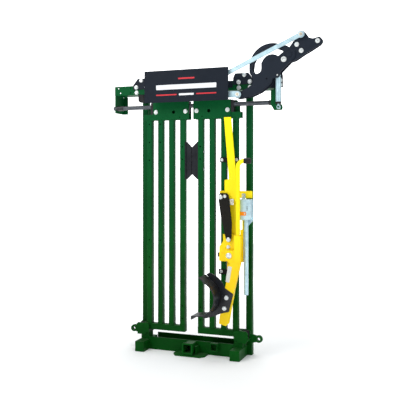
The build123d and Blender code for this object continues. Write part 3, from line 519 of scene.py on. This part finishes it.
def frame_welds(bm):
    for side in (-1, 1):
        x0, x1 = sorted(side * x for x in POST_X)
        weld(bm, rectangle_xy(x0, x1, *POST_Y, BEAM_UNDERSIDE), 2.8, True)
        post_side = side * POST_X[0]
        weld(bm, [(post_side, POST_Y[0], 2), (post_side, POST_Y[0], SILL_TOP),
                  (post_side, POST_Y[1], SILL_TOP), (post_side, POST_Y[1], 2)], 2.6)
        weld(bm, [(side * FOOT_X, FOOT_Y[0], 3), (side * FOOT_X, FOOT_Y[0], SILL_TOP),
                  (side * FOOT_X, FOOT_Y[1], SILL_TOP)], 2.8)
        x0, x1 = sorted(side * x for x in GUIDE_LEG_X)
        weld(bm, rectangle_xy(x0, x1, *GUIDE_LEG_Y, SILL_TOP + 0.5), 2.4, True)
        x0, x1 = sorted(side * x for x in GUIDE_PLATE_X)
        for y in GUIDE_PLATE_Y:
            weld(bm, [(x0, y, GUIDE_PLATE_Z), (x1, y, GUIDE_PLATE_Z)], 2.2)
        weld(bm, [(side * POST_X[1], 66, 110), (side * POST_X[1], 61, 174)], 1.6)
        for y in PIN_EYE_FACES:
            weld(bm, ring_y(side * PIN_EYE[0], PIN_EYE[1], PIN_EYE_RADIUS, y), 2.2, True)
        for x in END_PLATE_X:
            weld(bm, [(side * x, y, END_PLATE_Z) for y in END_PLATE_Y], 2.4)
        weld(bm, [(side * x, 127, END_PLATE_Z) for x in (652, 685)], 2.2)
        weld(bm, [(side * x, 40, BEAM_TOP) for x in (375, 500)], 2.2)
    weld(bm, rectangle_xz(*LARGE_SOCKET, SILL_FRONT), 2.8, True)
    weld(bm, rectangle_xz(*SMALL_SOCKET, SILL_FRONT), 2.6, True)
    weld(bm, rectangle_xz(*LARGE_SOCKET, SOCKET_COLLAR), 2.4, True)
    for x in (-40, -30, 66, 76):                                    # gussets of the large socket
        weld(bm, [(x, y, BASE_PLATE_TOP + 0.4) for y in (-109, -43)], 2.2)
    for x in (-24.4, 60.4):
        weld(bm, [(x, y, 73) for y in (-104, -44)], 3.2)
    weld(bm, [(x, -42, BASE_PLATE_TOP) for x in (-113, 150)], 2.6)  # base plate to the sill
    weld(bm, [(612, -19.5, z) for z in (2105, 2176)], 2.2)          # edge of the lever's bracket
    weld(bm, [(-END_PLATE_X[0], 14.5, z) for z in (1978, 2007)], 2.4)


HINGE = (353, 1222)             # the lift lever on the holder frame
ARM_PIVOT = (356, 809)          # the swing arm on the carriage
DRIVE_PINS = ((339, 928), (273, 1260))      # the drive link on the carriage and on the lever
HOLDER_FRONT, CARRIAGE_FRONT, ARM_FRONT = -33, -66.4, -130.4


def holder_welds(bm):
    weld(bm, ring_y(*HINGE, 12.5, -41.4), 1.8, True)
    for x in (314, 398):
        weld(bm, [(x, HOLDER_FRONT, 1250), (x, HOLDER_FRONT, 712)], 2.0)
    for x in (256, 293, 391):
        weld(bm, [(x, HOLDER_FRONT - 0.4, 1262), (x, HOLDER_FRONT - 0.4, 1299)], 1.8)


def carriage_welds(bm):
    weld(bm, ring_y(*ARM_PIVOT, 24.4, CARRIAGE_FRONT, 28), 2.0, True)
    weld(bm, ring_y(*ARM_PIVOT, 14.4, -95.2), 1.4, True)
    weld(bm, [(443.5, -58, 760), (443.5, -58, 1004)], 2.0)
    weld(bm, [(256, -66.3, 822), (330, -66.3, 822), (330, -66.3, 758)], 1.8)
    for x in (300, 411):
        weld(bm, [(x, -57.5, 768), (x, -57.5, 958)], 2.0)


def arm_welds(bm):
    for x in (400, 450):
        weld(bm, [(x, ARM_FRONT, 762), (x, ARM_FRONT, 962)], 2.3)
    weld(bm, [(402, ARM_FRONT, 758), (448, ARM_FRONT, 758)], 2.3)


def lift_welds(bm):
    weld(bm, ring_y(*DRIVE_PINS[1], 16.3, -66.3, 22), 1.8, True)
    weld(bm, [(300, -66.2, 1310), (300, -66.2, 1392), (333, -66.2, 1399)], 2.0)


def cradle_welds(bm):
    centre_x, centre_z, radius = 151, 488, 140
    turns = [math.radians(degrees) for degrees in range(-62, 60, 6)]
    weld(bm, [(centre_x + radius * math.cos(t), -138.4, centre_z + radius * math.sin(t))
              for t in turns], 2.6)


for name, body, material, slot, build in (
        ("frame_welds", "frame", GREEN, "green_paint", frame_welds),
        ("left_door_welds", "left_door", GREEN, "green_paint", door_welds(-1)),
        ("right_door_welds", "right_door", GREEN, "green_paint", door_welds(1)),
        ("holder_frame_welds", "right_door", YELLOW, "yellow_paint", holder_welds),
        ("carriage_welds", "carriage_body", YELLOW, "yellow_paint", carriage_welds),
        ("swing_arm_welds", "swing_arm_body", YELLOW, "yellow_paint", arm_welds),
        ("lift_lever_welds", "lift_lever_body", YELLOW, "yellow_paint", lift_welds),
        ("cradle_welds", "swing_arm_body", BLACK, "black_paint", cradle_welds)):
    piece(name, body, material, build)

# ---------------------------------------------------------------------------
# Washers and bolt details. A place is x and z; a profile is (distance, radius) pairs.
# ---------------------------------------------------------------------------
CLAMP_BOLTS_X = (400.7, 492.7)
CLAMP_TOP_BOLT = (446.7, 2217.3)
SIGN_BOLT = (293, 2150)
BEAM_BOLT = (547, 2162)
LEVER_BRACKET_BOLTS = ((632, 2125), (632, 2160), (736, 2125), (736, 2160))
DOOR_BOLTS_X, DOOR_BOLTS_Z = (48, 310), 1948
LEVER_HUB = (825, 2341)
LEVER_BOLT = (783, 2305)
LEVER_TIP_BOLTS = ((880, 2411), (914, 2363), (1037, 2428))
LINK_PINS = ((917, 2480), (424, 2053))
STRAP_BOLTS = ((265, 1553), (386, 1553), (259, 669))
DRIVE_LINK_BOLT = (309, 1266)
CARRIAGE_BOLT = (330, 868)
CRADLE_BOLTS = ((337, 483), (320, 400))

frame_spots = []
for side in (-1, 1):
    for x in CLAMP_BOLTS_X:
        frame_spots += [(side * x, 2161.4, -25, 18, FRONT), (side * x, 2118.4, -19, 18, FRONT)]
    frame_spots += [(side * CLAMP_TOP_BOLT[0], CLAMP_TOP_BOLT[1], -25, 17, FRONT),
                    (side * SIGN_BOLT[0], SIGN_BOLT[1], -24, 13, FRONT)]
frame_spots += [(x, z, -29, 17, FRONT) for x, z in LEVER_BRACKET_BOLTS]
frame_spots += [(*BEAM_BOLT, -19, 15, FRONT)]
piece("frame_washers", "frame", BRIGHT, washers(frame_spots))

for side, hand in ((-1, "left"), (1, "right")):
    spots = [(side * x, DOOR_BOLTS_Z, face, 18, way)
             for x in DOOR_BOLTS_X for face, way in ((-31, FRONT), (31, BACK))]
    piece(f"{hand}_door_washers", f"{hand}_door", BRIGHT, washers(spots))

lever_spots = [(x, z, -97.9, 18, FRONT) for x, z in LEVER_TIP_BOLTS]
lever_spots += [(*LEVER_BOLT, -108, 21, FRONT)]
lever_spots += [(x, z, -50.1, 18, BACK) for x, z in LEVER_TIP_BOLTS]
piece("lever_washers", "gate_lever", BRIGHT, washers(lever_spots))
piece("holder_washers", "right_door", BRIGHT,
      washers([(x, z, HOLDER_FRONT, 13, FRONT) for x, z in STRAP_BOLTS]))
piece("drive_link_washers", "drive_link_body", BRIGHT,
      washers([(x, z, -92, 17.5, FRONT) for x, z in DRIVE_PINS]
              + [(*DRIVE_LINK_BOLT, -92, 13, FRONT)]))
piece("arm_washers", "swing_arm_body", BRIGHT,
      washers([(x, z, -138, 17.5, FRONT) for x, z in CRADLE_BOLTS]))


def turned(*parts):
    """Shapes turned about lines that run front to back, each (place, depth, profile)."""
    def build(bm):
        for (x, z), depth, profile in parts:
            spin_profile(bm, (x, depth, z), FRONT, profile)
    return build


PIN_CORE = ((0, 9.5), (0.9, 9.5), (1.6, 8.3), (1.9, 3))
HINGE_FLANGE = ((0, 17), (1.2, 17), (1.6, 16), (1.6, 9))
HINGE_END = ((0, 9), (0.9, 8.6), (1.5, 7), (1.7, 3))
HUB_CAP = ((0, 20.8), (5.4, 20.8), (6.8, 19), (7.2, 12))
ARM_NUT = ((0, 23), (7.6, 22.6), (9.8, 20.4), (9.9, 14), (12.6, 13.6), (13.8, 11.5))
BOLT_HEAD = ((0, 15.5), (1.6, 15.5), (1.7, 13.2), (6.6, 13.2), (7.8, 11.5))

# The passivated cores that show in the heads of the link pins.
piece("link_pin_centres", "gate_lever", BRASS,
      turned(*((place, -134.9, PIN_CORE) for place in LINK_PINS)))
piece("hinge_nut_face", "right_door", BRASS,
      turned((HINGE, -77, HINGE_FLANGE), (HINGE, -81.8, HINGE_END)))
# The painted cap over the head of the lever's inner pin.
piece("lever_hub_cap", "gate_lever", SLATE, turned((LEVER_HUB, -108.1, HUB_CAP)))
# The flange nut and pin end at the arm's pivot, and the head of the carriage's bolt.
piece("carriage_nut_faces", "carriage_body", BRIGHT,
      turned((ARM_PIVOT, -130.7, ARM_NUT), (CARRIAGE_BOLT, -66, BOLT_HEAD)))

# ---------------------------------------------------------------------------
# Plates that the CAD leaves out
# ---------------------------------------------------------------------------
WING = ((334, 1884), (398, 1884), (398, 1990), (372, 2028), (334, 2028))
BACKING = ((436, 1243), (523, 1243), (523, 1080), (482, 1034), (436, 1024))


def hanger_wing(side):
    """The outer tail of a rear hanger plate, which closes the view past the bushing's end."""
    return lambda bm: plate(bm, [(side * x, z) for x, z in WING], 25.3, 30.7)


piece("left_hanger_wing", "left_door", GREEN, hanger_wing(-1), False)
piece("right_hanger_wing", "right_door", GREEN, hanger_wing(1), False)
# The tapered plate behind the lock box.
piece("lock_backing", "right_door", ZINC,
      lambda bm: plate(bm, BACKING, -34.9, -31.5), False)

# ---------------------------------------------------------------------------
# Sign face, blank label and grip
# ---------------------------------------------------------------------------
SIGN_FACE = -156.0
PRINT_FRONT, PRINT_BACK = SIGN_FACE - 0.5, SIGN_FACE - 0.02
# Plain bars in place of lettering: x0, x1, z0, z1 and corner radius.
WHITE_BARS = ((-250, 262, 2112, 2150, 6), (-52, 74, 2062, 2078, 4))
RED_BARS = ((-250, -72, 2065, 2075, 3), (94, 262, 2065, 2075, 3), (-60, 80, 2190, 2202, 5))
LABEL_TILT, LABEL_X, LABEL_Z = math.radians(9.5), 353.5, 664


def sign_bars(bars):
    def build(bm):
        for x0, x1, z0, z1, corner in bars:
            rounded_bar(bm, x0, x1, PRINT_FRONT, PRINT_BACK, z0, z1, corner)
    return build


def arm_label(bm):
    """A blank label on the lower arm, turned to lie along it."""
    rounded_bar(bm, -16, 16, -130.5, -130.05, -62, 62, 3)
    tilt = Matrix.Rotation(LABEL_TILT, 4, "Y")
    for vert in bm.verts:
        vert.co = tilt @ vert.co + Vector((LABEL_X * MM, 0, LABEL_Z * MM))


GRIP_START, GRIP_Y, GRIP_Z = 481, -118, 1541
GRIP_RIBS, RIB_PITCH = 8, 5.2
RIB = ((0, 21.8), (0.8, 22.7), (2.2, 22.7), (3.0, 21.8))


def grip_ribs(bm):
    for index in range(GRIP_RIBS):
        spin_profile(bm, (GRIP_START + index * RIB_PITCH, GRIP_Y, GRIP_Z), RIGHT, RIB)


piece("sign_white_bars", "frame", WHITE, sign_bars(WHITE_BARS), False)
piece("sign_red_bars", "frame", RED, sign_bars(RED_BARS), False)
piece("arm_blank_label", "swing_arm_body", LABEL, arm_label, False)
piece("hand_grip_ribs", "swing_arm_body", RUBBER, grip_ribs)

# ---------------------------------------------------------------------------
# Floor, light and camera
# ---------------------------------------------------------------------------
FLOOR_RADIUS = 8.5
WALL_HEIGHT = 12.0
STAGE_SIDES = 96
STAGE_BUMP = 0.4 * MM
GLOW_START, GLOW_FULL = 0.9, 3.4      # distances at which the floor begins to glow and is white
GLOW_NEAR = 0.06
GLOW_COLOUR = (1.0, 1.0, 1.0, 1.0)

floor_graph = Graph("studio_floor")
floor_tone = floor_graph.mix(floor_graph.noise(scale=0.7), (0.90, 0.90, 0.90), (0.94, 0.94, 0.94))
away = floor_graph.add("ShaderNodeVectorMath", operation="LENGTH")
floor_graph.link(floor_graph.coords, away.inputs[0])
floor_graph.put(floor_graph.shader, "Emission Strength",
                floor_graph.ramp(away.outputs["Value"], GLOW_START, GLOW_FULL, GLOW_NEAR, 1.0))
floor_graph.finish(floor_tone, 0.85,
                   floor_graph.bump(floor_graph.noise(scale=60), 0.03, STAGE_BUMP),
                   Emission_Color=GLOW_COLOUR)
wall_graph = Graph("studio_wall")
wall_tone = wall_graph.mix(wall_graph.noise(scale=0.5, detail=2),
                           (0.92, 0.92, 0.92), (0.95, 0.95, 0.95))
wall_graph.finish(wall_tone, 0.9,
                  wall_graph.bump(wall_graph.noise(scale=30, detail=2), 0.02, STAGE_BUMP),
                  Emission_Color=GLOW_COLOUR, Emission_Strength=1.0)


def stage_ring(bm, z):
    return [bm.verts.new((x, y, z)) for x, y in circle(FLOOR_RADIUS, STAGE_SIDES)]


def floor_mesh(bm):
    bm.faces.new(stage_ring(bm, 0.0))


def wall_mesh(bm):
    low, high = stage_ring(bm, 0.0), stage_ring(bm, WALL_HEIGHT)
    for i in range(STAGE_SIDES):
        j = (i + 1) % STAGE_SIDES
        bm.faces.new((low[j], low[i], high[i], high[j]))


stage_object("floor", floor_graph.material, floor_mesh)
wall = stage_object("wall", wall_graph.material, wall_mesh)
# The wall is only a white background: it neither lights the object nor shades it.
wall.visible_diffuse = False
wall.visible_glossy = False
wall.visible_shadow = False

world = bpy.data.worlds.new("studio")
world.use_nodes = True
background = world.node_tree.nodes["Background"]
background.inputs["Color"].default_value = (0.93, 0.97, 1.0, 1.0)
background.inputs["Strength"].default_value = 0.55
bpy.context.scene.world = world

# Name, place, target, size and power of each light.
LIGHTS = (
    ("key", (-2.6, -4.2, 4.4), (0, 0, 1.2), (2.6, 2.6), 125),
    ("fill", (4.4, -3.0, 2.6), (0.2, 0, 1.2), (2.4, 3.0), 45),
    ("top", (0.2, 0.4, 5.0), (0.2, 0, 0), (3.5, 3.0), 105),
    ("back", (-1.5, 4.0, 3.4), (0, 0, 1.2), (3.0, 2.0), 60),
)
for name, place, target, size, power in LIGHTS:
    light_data = bpy.data.lights.new(name, "AREA")
    light_data.shape = "RECTANGLE"
    light_data.size, light_data.size_y = size
    light_data.energy = power
    light = bpy.data.objects.new(name, light_data)
    light.location = place
    aim = Vector(target) - Vector(place)
    light.rotation_euler = aim.to_track_quat("-Z", "Y").to_euler()
    bpy.context.scene.collection.objects.link(light)

camera_data = bpy.data.cameras.new("camera")
camera_data.lens = 59.76
camera_data.sensor_width = 36.0
camera_data.shift_y = -0.064
camera_data.clip_end = 60.0
camera = bpy.data.objects.new("camera", camera_data)
camera.location = (1.9851, -5.0003, 1.437)
camera.rotation_euler = (math.radians(90), 0, math.radians(20.99))
bpy.context.scene.collection.objects.link(camera)
bpy.context.scene.camera = camera
bpy.context.scene.view_settings.view_transform = "Standard"
